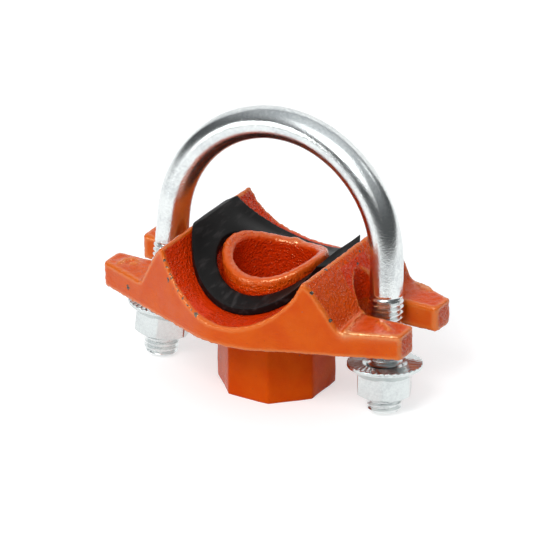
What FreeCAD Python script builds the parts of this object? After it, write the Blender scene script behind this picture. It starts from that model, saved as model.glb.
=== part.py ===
import FreeCAD, Part
import Sketcher
import math
import os

# U-bolt strap tee for a 48.3 mm run pipe, with a 1/2 in threaded outlet.
# Lengths are in millimetres and angles in degrees.
# Z is up and the origin is the middle of the outlet's end face. The run pipe
# lies along Y, and the two legs of the U-bolt stand on the left and right, along X.

DOCUMENT_NAME = "u_bolt_strap_tee"

# Lengths closer than this count as the same, and a cut takes at least this volume away.
SAME_LENGTH = 0.02
LEAST_CUT = 1.0

SIZES = {
    # Run pipe and the saddle that takes it
    "pipe_diameter": 48.3,
    "pipe_clearance": 0.45,
    "saddle_floor": 29.9,
    # Casting seen from the front
    "lug_underside": 24.0,
    "lug_thickness": 7.6,
    "lug_reach": 49.5,
    "wing_height": 45.9,
    "wing_top_reach": 23.7,
    "wing_bevel_reach": 25.9,
    "wing_bevel_drop": 2.4,
    "wing_foot_reach": 32.8,
    # Casting seen from above
    "lug_end_width": 28.8,
    "flank_angle": 21.2,
    "nose_radius": 29.8,
    "slot_width": 12.6,
    "slot_end_reach": 33.3,
    # Collar that drops into the hole cut in the run pipe
    "collar_diameter": 30.6,
    "collar_rise": 8.3,
    # Outlet boss and the waterway
    "outlet_flats": 32.0,
    "waterway_diameter": 24.0,
    "thread_bore_diameter": 18.63,
    "thread_depth": 15.0,
    "thread_mouth_diameter": 21.6,
    "waterway_shoulder": 2.7,
    # Rounded edges of the casting
    "foot_fillet": 2.0,
    "corner_fillet": 1.4,
    "rim_fillet": 1.1,
    "octagon_fillet": 1.0,
    # Gasket
    "gasket_thickness": 2.4,
    "gasket_diameter": 48.4,
    "gasket_hole_diameter": 33.0,
    "gasket_half_angle": 68.6,
    "gasket_shift": 1.6,
    "gasket_hole_shift": 0.3,
    "gasket_hole_offset": 0.7,
    "gasket_roll": 4.0,
    "gasket_seat_gap": 0.05,
    # U-bolt
    "rod_diameter": 9.6,
    "thread_diameter": 10.0,
    "thread_length": 36.2,
    "arch_radius": 35.6,
    "arch_height": 42.2,
    "leg_splay": 2.8,
    "leg_end_chamfer": 1.0,
    "lean_angle": 7.2,
    "leg_setback": 0.27,
    "floor_gap": 0.05,
    # Flange nuts
    "nut_flats": 15.0,
    "nut_end_diameter": 14.0,
    "nut_height": 10.0,
    "nut_left_turn": -12.8,
    "nut_right_turn": -5.0,
    "nut_left_rise": 6.2,
    "nut_right_rise": 4.6,
    "nut_bore_clearance": 0.06,
    "nut_mouth_chamfer": 0.4,
    "flange_diameter": 22.0,
    "flange_rim": 1.3,
    "flange_root_diameter": 15.6,
    "flange_height": 3.6,
    "hex_chamfer_angle": 30.0,
    "recess_diameter": 12.6,
    "recess_depth": 0.7,
}

doc = FreeCAD.newDocument(DOCUMENT_NAME)


# Sheet of driving dimensions

def build_sheet():
    """Write every size as plain text beside its name, and give the cell that name."""
    sheet = doc.addObject("Spreadsheet::Sheet", "sizes")
    for row, (name, value) in enumerate(SIZES.items(), start=1):
        sheet.set(f"A{row}", name)
        sheet.set(f"B{row}", str(value))
        sheet.setAlias(f"B{row}", name)
    doc.recompute()
    return sheet


sheet = build_sheet()


def size(expression):
    """Value of an expression in the names of the sheet."""
    return float(sheet.evalExpression(expression))


def linked(expression):
    """The same expression written for an object outside the sheet."""
    words = "".join(ch if ch.isalnum() or ch == "_" else " " for ch in expression).split()
    result = expression
    for word in sorted(set(words), key=len, reverse=True):
        if word in SIZES:
            result = replace_word(result, word, "sizes." + word)
    return result


def replace_word(text, word, new):
    """Replace whole words only."""
    pieces = []
    token = ""
    for ch in text + " ":
        if ch.isalnum() or ch in "_.":
            token += ch
            continue
        pieces.append(new if token == word else token)
        pieces.append(ch)
        token = ""
    return "".join(pieces)[:-1]


# Values that several pieces share

SADDLE_RADIUS = "(pipe_diameter / 2 + pipe_clearance)"
SADDLE_AXIS = f"(saddle_floor + {SADDLE_RADIUS})"
LUG_TOP = "(lug_underside + lug_thickness)"
LUG_MIDDLE = "(lug_underside + lug_thickness / 2)"
ROD_RADIUS = "(rod_diameter / 2)"
THREAD_RADIUS = "(thread_diameter / 2)"
SHOULDER_X = "(arch_radius * cos(leg_splay))"
SHOULDER_Z = "(arch_height + arch_radius * sin(leg_splay))"
TIP_REACH = f"({SHOULDER_X} + {SHOULDER_Z} * tan(leg_splay))"
TIP_HEIGHT = f"(floor_gap + {THREAD_RADIUS} * sin(lean_angle))"
TIP_Y = f"(leg_setback - ({LUG_MIDDLE} - {TIP_HEIGHT}) * tan(lean_angle))"


# Bodies, sketches and features

def new_body(label):
    """A PartDesign body whose label is the node's name."""
    body = doc.addObject("PartDesign::Body", label)
    body.Label = label
    doc.recompute()
    return body


def plane_of(body, role):
    """One of the body's own origin planes."""
    return next(item for item in body.Origin.OriginFeatures if item.Role == role)


def new_sketch(body, name, role, height=None):
    """A sketch on an origin plane, lifted along the plane's normal where a height is given."""
    sketch = body.newObject("Sketcher::SketchObject", name)
    sketch.AttachmentSupport = [(plane_of(body, role), "")]
    sketch.MapMode = "FlatFace"
    if height is not None:
        sketch.setExpression("AttachmentOffset.Base.z", linked(height))
    doc.recompute()
    return sketch


def pin_point(sketch, geometry, place, point):
    """Hold a point of the sketch at a pair of expressions."""
    for kind, expression in zip(("DistanceX", "DistanceY"), point):
        index = sketch.addConstraint(
            Sketcher.Constraint(kind, -1, 1, geometry, place, size(expression))
        )
        sketch.setExpression(f"Constraints[{index}]", linked(expression))


def draw_circle(sketch, centre, radius):
    """A circle with its centre and radius tied to the sheet."""
    middle = FreeCAD.Vector(size(centre[0]), size(centre[1]), 0)
    circle = Part.Circle(middle, FreeCAD.Vector(0, 0, 1), size(radius))
    index = sketch.addGeometry(circle, False)
    pin_point(sketch, index, 3, centre)
    constraint = sketch.addConstraint(Sketcher.Constraint("Radius", index, size(radius)))
    sketch.setExpression(f"Constraints[{constraint}]", linked(radius))
    return index


def draw_outline(sketch, points, bulges=None, closed=True):
    """
    Draw straight runs from point to point. A run named in bulges by its number is an
    arc instead, given by the expressions of its centre.
    """
    bulges = bulges or {}
    count = len(points)
    runs = count if closed else count - 1
    for run in range(runs):
        start, end = points[run], points[(run + 1) % count]
        first = FreeCAD.Vector(size(start[0]), size(start[1]), 0)
        last = FreeCAD.Vector(size(end[0]), size(end[1]), 0)
        if run in bulges:
            draw_arc(sketch, start, end, bulges[run])
            continue
        index = sketch.addGeometry(Part.LineSegment(first, last), False)
        pin_point(sketch, index, 1, start)
        pin_point(sketch, index, 2, end)


def draw_arc(sketch, start, end, centre):
    """An arc turning anticlockwise from start to end, held by its ends and one centre value."""
    middle = FreeCAD.Vector(size(centre[0]), size(centre[1]), 0)
    first = FreeCAD.Vector(size(start[0]), size(start[1]), 0)
    last = FreeCAD.Vector(size(end[0]), size(end[1]), 0)
    circle = Part.Circle(middle, FreeCAD.Vector(0, 0, 1), (first - middle).Length)
    from_angle = math.atan2(first.y - middle.y, first.x - middle.x)
    to_angle = math.atan2(last.y - middle.y, last.x - middle.x)
    index = sketch.addGeometry(Part.ArcOfCircle(circle, from_angle, to_angle), False)
    pin_point(sketch, index, 1, start)
    pin_point(sketch, index, 2, end)
    free = 1 if abs(first.x - last.x) > abs(first.y - last.y) else 0
    kind = ("DistanceX", "DistanceY")[free]
    constraint = sketch.addConstraint(
        Sketcher.Constraint(kind, -1, 1, index, 3, size(centre[free]))
    )
    sketch.setExpression(f"Constraints[{constraint}]", linked(centre[free]))


def pad(body, name, sketch, length):
    """Pad a sketch away from its plane."""
    feature = body.newObject("PartDesign::Pad", name)
    feature.Profile = sketch
    feature.setExpression("Length", linked(length))
    doc.recompute()
    return feature


def pocket_through(body, name, sketch):
    """Cut a sketch through everything on both sides of its plane, and check that it cut."""
    before = body.Shape.Volume
    feature = body.newObject("PartDesign::Pocket", name)
    feature.Profile = sketch
    feature.Type = "ThroughAll"
    feature.Midplane = True
    doc.recompute()
    check_cut(body, name, before)
    return feature


def check_cut(body, name, before):
    """Stop if a cut took nothing away."""
    if body.Shape.Volume > before - LEAST_CUT:
        raise RuntimeError(f"{name} cuts nothing")


def groove(body, name, sketch):
    """Turn a sketch about the body's Z axis and take it away."""
    before = body.Shape.Volume
    feature = body.newObject("PartDesign::Groove", name)
    feature.Profile = sketch
    feature.ReferenceAxis = (sketch, ["V_Axis"])
    feature.Angle = 360.0
    doc.recompute()
    check_cut(body, name, before)
    return feature


def revolution(body, name, sketch):
    """Turn a sketch about the body's Z axis and add it."""
    feature = body.newObject("PartDesign::Revolution", name)
    feature.Profile = sketch
    feature.ReferenceAxis = (sketch, ["V_Axis"])
    feature.Angle = 360.0
    doc.recompute()
    return feature


def edges_where(feature, test):
    """Names of the feature's edges whose ends and middle pass a test."""
    names = []
    for number, edge in enumerate(feature.Shape.Edges, start=1):
        middle = edge.valueAt((edge.FirstParameter + edge.LastParameter) / 2)
        ends = [vertex.Point for vertex in edge.Vertexes]
        if test(edge, ends, middle):
            names.append(f"Edge{number}")
    return names


def round_edges(body, name, radius, test):
    """Fillet the edges of the body's tip that pass a test."""
    base = body.Tip
    names = edges_where(base, test)
    if not names:
        raise RuntimeError(f"{name} finds no edge")
    feature = body.newObject("PartDesign::Fillet", name)
    feature.Base = (base, names)
    feature.setExpression("Radius", linked(radius))
    doc.recompute()
    return feature


def near(value, target):
    """True where two lengths agree."""
    return abs(value - target) < SAME_LENGTH


def is_upright(ends):
    """True for an edge that stands along Z."""
    return len(ends) == 2 and near(ends[0].x, ends[1].x) and near(ends[0].y, ends[1].y)


# Housing: saddle, wings, forked lugs, collar and outlet in one casting

def build_housing():
    """The casting."""
    body = new_body("housing")
    add_plate(body)
    cut_front_profile(body)
    cut_slots(body)
    add_collar(body)
    add_outlet(body)
    cut_waterway(body)
    round_casting(body)
    return body


def add_plate(body):
    """Block with the casting's outline from above: a rounded nose front and back."""
    end_half = "(lug_end_width / 2)"
    nose_x = "(nose_radius * sin(flank_angle))"
    nose_y = f"({end_half} + (lug_reach - {nose_x}) * tan(flank_angle))"
    centre_y = f"({nose_y} - nose_radius * cos(flank_angle))"
    points = [
        ("lug_reach", f"-{end_half}"),
        ("lug_reach", end_half),
        (nose_x, nose_y),
        (f"-{nose_x}", nose_y),
        ("-lug_reach", end_half),
        ("-lug_reach", f"-{end_half}"),
        (f"-{nose_x}", f"-{nose_y}"),
        (nose_x, f"-{nose_y}"),
    ]
    centres = {2: ("0", centre_y), 6: ("0", f"-{centre_y}")}
    outline = new_sketch(body, "plan_outline", "XY_Plane", "lug_underside")
    draw_outline(outline, points, centres)
    pad(body, "plate", outline, "wing_height - lug_underside")


def cut_front_profile(body):
    """Cut the saddle, and the room over the lugs outside the wings."""
    saddle = new_sketch(body, "saddle_circle", "XZ_Plane")
    draw_circle(saddle, ("0", SADDLE_AXIS), SADDLE_RADIUS)
    pocket_through(body, "saddle", saddle)
    over = "(wing_height + lug_thickness)"
    shoulder = "(wing_height - wing_bevel_drop)"
    slope = f"atan2({shoulder} - {LUG_TOP}; wing_foot_reach - wing_bevel_reach)"
    tangent = f"(foot_fillet * tan({slope} / 2))"
    foot_top = f"{LUG_TOP} + {tangent} * sin({slope})"
    for side, sign in (("right", ""), ("left", "-")):
        outside = f"{sign}(lug_reach + lug_thickness)"
        foot_end = f"{sign}(wing_foot_reach + {tangent})"
        points = [
            (outside, LUG_TOP),
            (outside, over),
            (f"{sign}wing_top_reach", over),
            (f"{sign}wing_top_reach", "wing_height"),
            (f"{sign}wing_bevel_reach", shoulder),
            (f"{sign}(wing_foot_reach - {tangent} * cos({slope}))", foot_top),
            (foot_end, LUG_TOP),
        ]
        centre = (foot_end, f"{LUG_TOP} + foot_fillet")
        sketch = new_sketch(body, f"{side}_shoulder_profile", "XZ_Plane")
        if side == "right":
            draw_outline(sketch, points, {5: centre})
        else:
            draw_outline(sketch, points[::-1], {0: centre})
        pocket_through(body, f"{side}_shoulder", sketch)


def cut_slots(body):
    """Fork the lugs: open slots whose round ends also groove the wings."""
    half = "(slot_width / 2)"
    outside = "(lug_reach + lug_thickness)"
    right = new_sketch(body, "right_slot_outline", "XY_Plane")
    points = [
        ("slot_end_reach", f"-{half}"),
        (outside, f"-{half}"),
        (outside, half),
        ("slot_end_reach", half),
    ]
    draw_outline(right, points, {3: ("slot_end_reach", "0")})
    pocket_through(body, "right_slot", right)
    left = new_sketch(body, "left_slot_outline", "XY_Plane")
    points = [
        ("-slot_end_reach", half),
        (f"-{outside}", half),
        (f"-{outside}", f"-{half}"),
        ("-slot_end_reach", f"-{half}"),
    ]
    draw_outline(left, points, {3: ("-slot_end_reach", "0")})
    pocket_through(body, "left_slot", left)


def round_casting(body):
    """Round the upright corners of the lugs."""
    reach = size("lug_reach")

    def lug_corner(edge, ends, middle):
        return is_upright(ends) and near(abs(middle.x), reach)

    round_edges(body, "lug_corners", "corner_fillet", lug_corner)


def add_collar(body):
    """Collar round the hole, its rim cut to follow the pipe wall, with a rounded edge."""
    sketch = new_sketch(body, "collar_circle", "XY_Plane", LUG_MIDDLE)
    draw_circle(sketch, ("0", "0"), "collar_diameter / 2")
    pad(body, "collar", sketch, f"{SADDLE_AXIS} - {LUG_MIDDLE}")
    rim = new_sketch(body, "rim_circle", "XZ_Plane")
    draw_circle(rim, ("0", f"{SADDLE_AXIS} + collar_rise"), SADDLE_RADIUS)
    pocket_through(body, "rim", rim)


def add_outlet(body):
    """Octagonal boss under the saddle, with the long way across its flats along X and Y."""
    corner = "(outlet_flats / 2 / cos(22.5))"
    points = [
        (f"{corner} * cos({22.5 + 45 * step})", f"{corner} * sin({22.5 + 45 * step})")
        for step in range(8)
    ]
    sketch = new_sketch(body, "outlet_octagon", "XY_Plane")
    draw_outline(sketch, points)
    pad(body, "outlet", sketch, LUG_MIDDLE)
    corner_reach = size(corner)

    def octagon_edge(edge, ends, middle):
        return is_upright(ends) and near(math.hypot(middle.x, middle.y), corner_reach)

    round_edges(body, "octagon_corners", "octagon_fillet", octagon_edge)


def cut_waterway(body):
    """Waterway from the collar down to the bore of the outlet's thread."""
    bore = "(thread_bore_diameter / 2)"
    mouth = "(thread_mouth_diameter / 2)"
    way = "(waterway_diameter / 2)"
    shoulder = "(thread_depth + waterway_shoulder)"
    points = [
        ("0", "0"),
        (mouth, "0"),
        (bore, f"{mouth} - {bore}"),
        (bore, "thread_depth"),
        (way, shoulder),
        (way, SADDLE_AXIS),
        ("0", SADDLE_AXIS),
    ]
    sketch = new_sketch(body, "waterway_profile", "XZ_Plane")
    draw_outline(sketch, points)
    groove(body, "waterway", sketch)
    outer = size("collar_diameter / 2")
    inner = size(way)
    low = size("saddle_floor + collar_rise - rim_fillet")

    def rim_edge(edge, ends, middle):
        reach = math.hypot(middle.x, middle.y)
        on_wall = near(reach, outer) or near(reach, inner)
        return on_wall and middle.z > low

    round_edges(body, "collar_rim", "rim_fillet", rim_edge)


# Gasket: a flat rubber ring laid in the saddle round the collar

def build_gasket():
    """The rubber ring, bent to the saddle and cut straight beside each wing."""
    body = new_body("gasket")
    outer = f"({SADDLE_RADIUS} - gasket_seat_gap)"
    inner = f"({outer} - gasket_thickness)"
    across = "sin(gasket_half_angle)"
    down = "cos(gasket_half_angle)"
    points = [
        (f"-{outer} * {across}", f"{SADDLE_AXIS} - {outer} * {down}"),
        (f"{outer} * {across}", f"{SADDLE_AXIS} - {outer} * {down}"),
        (f"{inner} * {across}", f"{SADDLE_AXIS} - {inner} * {down}"),
        (f"-{inner} * {across}", f"{SADDLE_AXIS} - {inner} * {down}"),
    ]
    sketch = new_sketch(body, "gasket_section", "XZ_Plane")
    draw_section(sketch, points)
    feature = body.newObject("PartDesign::Pad", "gasket_strip")
    feature.Profile = sketch
    feature.Midplane = True
    feature.setExpression("Length", linked("gasket_diameter + pipe_diameter"))
    doc.recompute()
    ring = new_sketch(body, "gasket_outline", "XY_Plane")
    draw_circle(ring, ("0", "gasket_shift"), "gasket_diameter / 2")
    draw_circle(ring, ("0", "gasket_shift"), "gasket_diameter + pipe_diameter")
    pocket_through(body, "gasket_round", ring)
    hole = new_sketch(body, "gasket_hole_circle", "XY_Plane")
    draw_circle(hole, ("gasket_hole_offset", "gasket_hole_shift"), "gasket_hole_diameter / 2")
    pocket_through(body, "gasket_hole", hole)
    roll = f"placement(vector(0; 0; {SADDLE_AXIS}); rotation(vector(0; 1; 0); gasket_roll))"
    lower = f"placement(vector(0; 0; -1 * {SADDLE_AXIS}); rotation(vector(0; 1; 0); 0))"
    body.setExpression("Placement", linked(f"{roll} * {lower}"))
    doc.recompute()
    return body


def draw_section(sketch, points):
    """Two arcs about the saddle's axis, joined by straight ends."""
    centre = ("0", SADDLE_AXIS)
    outer_left, outer_right, inner_right, inner_left = points
    draw_arc(sketch, outer_left, outer_right, centre)
    draw_outline(sketch, [outer_right, inner_right], closed=False)
    draw_arc(sketch, inner_left, inner_right, centre)
    draw_outline(sketch, [inner_left, outer_left], closed=False)


# U-bolt and its nuts, leaning back together in the open slots

U_BOLT_PLACE = (
    f"placement(vector(0; {TIP_Y}; {TIP_HEIGHT}); rotation(vector(1; 0; 0); -lean_angle))"
)


def leg_place(side, along="0", turn="0"):
    """
    Placement on a leg of the upright U-bolt, as an expression. The side is 1 or -1,
    along is the height above the leg's tip and turn is the angle about the leg.
    """
    reach = f"vector({side} * {TIP_REACH}; 0; 0)"
    splay = f"rotation(vector(0; 1; 0); {-side} * leg_splay)"
    raised = f"placement(vector(0; 0; {along}); rotation(vector(0; 0; 1); {turn}))"
    return f"placement({reach}; {splay}) * {raised}"


def build_u_bolt():
    """Round bar bent to an arch, with two straight threaded legs that spread a little."""
    body = new_body("u_bolt")
    path = new_sketch(body, "bend_line", "XZ_Plane")
    right_tip = (TIP_REACH, "0")
    left_tip = (f"-{TIP_REACH}", "0")
    right_shoulder = (SHOULDER_X, SHOULDER_Z)
    left_shoulder = (f"-{SHOULDER_X}", SHOULDER_Z)
    draw_outline(path, [right_tip, right_shoulder], closed=False)
    draw_arc(path, right_shoulder, left_shoulder, ("0", "arch_height"))
    draw_outline(path, [left_shoulder, left_tip], closed=False)
    section = new_sketch(body, "bar_section", "XY_Plane")
    section.setExpression("AttachmentOffset", linked(leg_place(1)))
    draw_circle(section, ("0", "0"), ROD_RADIUS)
    bar = body.newObject("PartDesign::AdditivePipe", "bar")
    bar.Profile = section
    bar.Spine = path
    doc.recompute()
    add_thread(body, "right", 1)
    add_thread(body, "left", -1)
    round_tips(body)
    body.setExpression("Placement", linked(U_BOLT_PLACE))
    doc.recompute()
    return body


def add_thread(body, name, side):
    """The rolled thread's outer cylinder, which stands a little proud of the bar."""
    sketch = new_sketch(body, f"{name}_thread_circle", "XY_Plane")
    sketch.setExpression("AttachmentOffset", linked(leg_place(side)))
    draw_circle(sketch, ("0", "0"), THREAD_RADIUS)
    pad(body, f"{name}_thread", sketch, "thread_length")


def round_tips(body):
    """Chamfer the free ends of both legs."""
    base = body.Tip
    limit = size(f"{THREAD_RADIUS} * sin(leg_splay) + floor_gap")

    def tip_edge(edge, ends, middle):
        return all(near_floor(point, limit) for point in ends + [middle])

    tips = body.newObject("PartDesign::Chamfer", "leg_tips")
    tips.Base = (base, edges_where(base, tip_edge))
    tips.setExpression("Size", linked("leg_end_chamfer"))
    doc.recompute()


def near_floor(point, limit):
    """True where a point lies within a small height of the legs' tips."""
    return abs(point.z) < limit


def build_nut(label, side):
    """Hexagon nut with a conical flange whose serrated face looks up at the lug."""
    body = new_body(label)
    corner = "(nut_flats / 2 / cos(30))"
    points = [
        (f"{corner} * cos({60 * step})", f"{corner} * sin({60 * step})")
        for step in range(6)
    ]
    hexagon = new_sketch(body, f"{label}_hexagon", "XY_Plane")
    draw_outline(hexagon, points)
    pad(body, f"{label}_barrel", hexagon, "nut_height - flange_height / 2")
    cut_hex_chamfer(body, label)
    add_flange(body, label)
    cut_nut_bore(body, label)
    place = f"{U_BOLT_PLACE} * {leg_place(side, label + '_rise', label + '_turn')}"
    body.setExpression("Placement", linked(place))
    doc.recompute()
    return body


def cut_hex_chamfer(body, label):
    """Turn the free end of the hexagon down to a cone."""
    inner = "(nut_end_diameter / 2)"
    outer = "(flange_diameter / 2)"
    points = [
        (inner, "0"),
        (outer, "0"),
        (outer, f"({outer} - {inner}) * tan(hex_chamfer_angle)"),
    ]
    sketch = new_sketch(body, f"{label}_chamfer_profile", "XZ_Plane")
    draw_outline(sketch, points)
    groove(body, f"{label}_chamfer", sketch)


def add_flange(body, label):
    """Cone from the hexagon out to the flange's rim."""
    points = [
        ("0", "nut_height - flange_height"),
        ("flange_root_diameter / 2", "nut_height - flange_height"),
        ("flange_diameter / 2", "nut_height - flange_rim"),
        ("flange_diameter / 2", "nut_height"),
        ("recess_diameter / 2", "nut_height"),
        ("recess_diameter / 2 - recess_depth", "nut_height - recess_depth"),
        ("0", "nut_height - recess_depth"),
    ]
    sketch = new_sketch(body, f"{label}_flange_profile", "XZ_Plane")
    draw_outline(sketch, points)
    revolution(body, f"{label}_flange", sketch)


def cut_nut_bore(body, label):
    """Bore that runs on the leg with a small clearance, chamfered at both mouths."""
    bore = f"({THREAD_RADIUS} + nut_bore_clearance)"
    mouth = f"({bore} + nut_mouth_chamfer)"
    top = "(nut_height - recess_depth)"
    points = [
        ("0", "0"),
        (mouth, "0"),
        (bore, "nut_mouth_chamfer"),
        (bore, f"{top} - nut_mouth_chamfer"),
        (mouth, top),
        ("0", top),
    ]
    sketch = new_sketch(body, f"{label}_bore_profile", "XZ_Plane")
    draw_outline(sketch, points)
    groove(body, f"{label}_bore", sketch)


# Build, check and write

def check_model(parts):
    """Stop if any object failed or any piece isn't one valid solid."""
    for item in doc.Objects:
        if "Invalid" in item.State or "Error" in item.State:
            raise RuntimeError(f"{item.Label} is in state {item.State}")
    for part in parts:
        if part.Shape.isNull() or not part.Shape.isValid() or len(part.Shape.Solids) != 1:
            raise RuntimeError(f"{part.Label} isn't one valid solid")


def write_parts(parts):
    """Write each piece to parts/LABEL.step and print its size."""
    os.makedirs("parts", exist_ok=True)
    for part in parts:
        part.Shape.exportStep(f"parts/{part.Label}.step")
        box = part.Shape.BoundBox
        print(
            f"{part.Label}: volume {part.Shape.Volume:.0f} mm3, "
            f"x {box.XMin:.2f} {box.XMax:.2f}, y {box.YMin:.2f} {box.YMax:.2f}, "
            f"z {box.ZMin:.2f} {box.ZMax:.2f}, faces {len(part.Shape.Faces)}"
        )


def main():
    """Build the five pieces of the tee."""
    parts = [
        build_housing(),
        build_gasket(),
        build_u_bolt(),
        build_nut("nut_left", -1),
        build_nut("nut_right", 1),
    ]
    doc.recompute()
    check_model(parts)
    write_parts(parts)


main()
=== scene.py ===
"""Looks of a u-bolt strap tee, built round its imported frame.

A painted cast-iron saddle with a threaded outlet, a rubber gasket round its collar,
and a zinc-plated U-bolt with two serrated flange nuts. Sizes are in millimetres.
"""

import logging
import math
from contextlib import contextmanager
from dataclasses import dataclass
from enum import Enum
from functools import partial
from typing import Callable, Iterator, Sequence

import bpy
import numpy as np
from mathutils import Matrix, Vector


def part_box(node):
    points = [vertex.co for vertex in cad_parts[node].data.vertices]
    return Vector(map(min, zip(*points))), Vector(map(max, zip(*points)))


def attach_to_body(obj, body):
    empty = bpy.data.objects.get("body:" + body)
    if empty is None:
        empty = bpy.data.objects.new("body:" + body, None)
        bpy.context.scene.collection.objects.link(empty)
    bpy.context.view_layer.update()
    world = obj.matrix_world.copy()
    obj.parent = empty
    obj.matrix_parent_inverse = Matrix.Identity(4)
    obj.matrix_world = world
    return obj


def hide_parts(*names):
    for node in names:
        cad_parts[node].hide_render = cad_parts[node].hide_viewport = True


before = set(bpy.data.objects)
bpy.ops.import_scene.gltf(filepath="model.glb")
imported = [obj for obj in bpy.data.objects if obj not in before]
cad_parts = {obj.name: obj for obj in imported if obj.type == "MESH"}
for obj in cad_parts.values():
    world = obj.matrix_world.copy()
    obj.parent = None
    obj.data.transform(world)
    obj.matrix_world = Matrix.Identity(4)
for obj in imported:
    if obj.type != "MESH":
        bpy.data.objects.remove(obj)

MM = 0.001
FULL_TURN = 2 * math.pi
TINY = 0.000002
LOG = logging.getLogger("strap_tee")
# Sockets of a map range node, in order
MAP = ("Value", "From Min", "From Max", "To Min", "To Max")

Point = tuple[float, float, float]
Span = tuple[float, float]
Colour = tuple[float, float, float, float]
Stops = Sequence[tuple[float, str | Colour]]
Array = np.ndarray
Shape = bpy.types.Object
Material = bpy.types.Material
Socket = bpy.types.NodeSocket
AddNode = Callable[..., Socket | None]


# Small tools


def linear(hex_code: str) -> Colour:
    """Turn an sRGB hex value into a linear colour.

    Args:
        hex_code: Six hex digits, with or without a leading #.

    Returns:
        Linear red, green and blue, and an alpha of 1.
    """
    digits = hex_code.lstrip("#")
    channels = [int(digits[i : i + 2], 16) / 255 for i in (0, 2, 4)]
    straight = [c / 12.92 if c <= 0.04045 else ((c + 0.055) / 1.055) ** 2.4 for c in channels]
    return (*straight, 1.0)


def per_size(size: float) -> float:
    """Texture scale at which a pattern's features are about size millimetres."""
    return 1.0 / (size * MM)


def add_node(
    tree: bpy.types.NodeTree,
    kind: str,
    inputs: dict | None = None,
    stops: Stops = (),
    give: int | str = 0,
    **settings: object,
) -> Socket | None:
    """Add one node with its settings, its socket values and its links.

    Args:
        tree: The node tree.
        kind: The node's type, without the word that all of them begin with.
        inputs: Socket name or number, and the value or the output it is linked to.
        stops: Places of a colour ramp, with hex values or linear colours.
        give: Number or name of the output that is wanted.
        settings: Attributes of the node.

    Returns:
        The wanted output, or nothing from a node that has none.
    """
    node = tree.nodes.new("ShaderNode" + kind)
    for name, value in settings.items():
        setattr(node, name, value)
    for name, value in (inputs or {}).items():
        if isinstance(value, Socket):
            tree.links.new(value, node.inputs[name])
        else:
            node.inputs[name].default_value = value
    if stops:
        elements = node.color_ramp.elements
        for place, _ in stops[2:]:
            elements.new(place)
        for element, (place, colour) in zip(elements, stops):
            element.position = place
            element.color = linear(colour) if isinstance(colour, str) else colour
    return node.outputs[give] if node.outputs else None


def empty_tree(owner: Material | bpy.types.World) -> AddNode:
    """Clear the nodes of a material or a world.

    Args:
        owner: The material or the world.

    Returns:
        add_node, set to work on the owner's tree.
    """
    owner.use_nodes = True
    owner.node_tree.nodes.clear()
    return partial(add_node, owner.node_tree)


def choose(obj: Shape) -> None:
    """Make an object the only selected one, and the active one.

    Args:
        obj: The object.
    """
    bpy.ops.object.select_all(action="DESELECT")
    obj.select_set(True)
    bpy.context.view_layer.objects.active = obj


@contextmanager
def editing(obj: Shape) -> Iterator[None]:
    """Edit an object with all of it selected, and leave edit mode afterwards.

    Args:
        obj: The object.
    """
    choose(obj)
    bpy.ops.object.mode_set(mode="EDIT")
    bpy.ops.mesh.select_mode(type="VERT")
    bpy.ops.mesh.select_all(action="SELECT")
    yield
    bpy.ops.object.mode_set(mode="OBJECT")


def use_modifier(obj: Shape, kind: str, **settings: object) -> None:
    """Add a modifier to an object and apply it.

    Args:
        obj: The object.
        kind: The modifier's type name.
        settings: Attributes of the modifier.
    """
    modifier = obj.modifiers.new(kind.lower(), kind)
    for name, value in settings.items():
        setattr(modifier, name, value)
    choose(obj)
    bpy.ops.object.modifier_apply(modifier=modifier.name)


def combine(obj: Shape, operation: str, tool: Shape) -> None:
    """Join, cut or crop obj by a Boolean operation with a tool, and delete the tool."""
    use_modifier(obj, "BOOLEAN", operation=operation, solver="EXACT", object=tool)
    bpy.data.objects.remove(tool)


def displace(
    obj: Shape,
    pattern: str,
    size: float,
    height: float,
    mid_level: float = 0.5,
    group: str = "",
) -> None:
    """Move the surface of an object in and out by a soft random pattern.

    Args:
        obj: The object.
        pattern: Name of the pattern's texture.
        size: Size of the pattern's features.
        height: How far the whole pattern reaches.
        mid_level: Level of the pattern that leaves the surface where it is.
        group: Vertex group that weakens the pattern, if any.
    """
    texture = bpy.data.textures.new(pattern, "CLOUDS")
    texture.noise_scale = size * MM
    texture.noise_depth = 1
    place = {"texture_coords": "LOCAL", "mid_level": mid_level, "vertex_group": group}
    use_modifier(obj, "DISPLACE", texture=texture, strength=height * MM, **place)


def read_rows(obj: Shape, field: str) -> Array:
    """Read one vector of each vertex.

    Args:
        obj: The object.
        field: The vertices' own name for the vector.

    Returns:
        A row of x, y and z for each vertex.
    """
    flat = np.empty(len(obj.data.vertices) * 3)
    obj.data.vertices.foreach_get(field, flat)
    return flat.reshape(-1, 3)


def read_points(obj: Shape) -> Array:
    """Vertices of obj as rows of x, y and z in millimetres."""
    return read_rows(obj, "co") / MM


def write_points(obj: Shape, points: Array) -> None:
    """Move the vertices of obj to rows of x, y and z in millimetres."""
    obj.data.vertices.foreach_set("co", (points * MM).ravel())
    obj.data.update()


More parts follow.
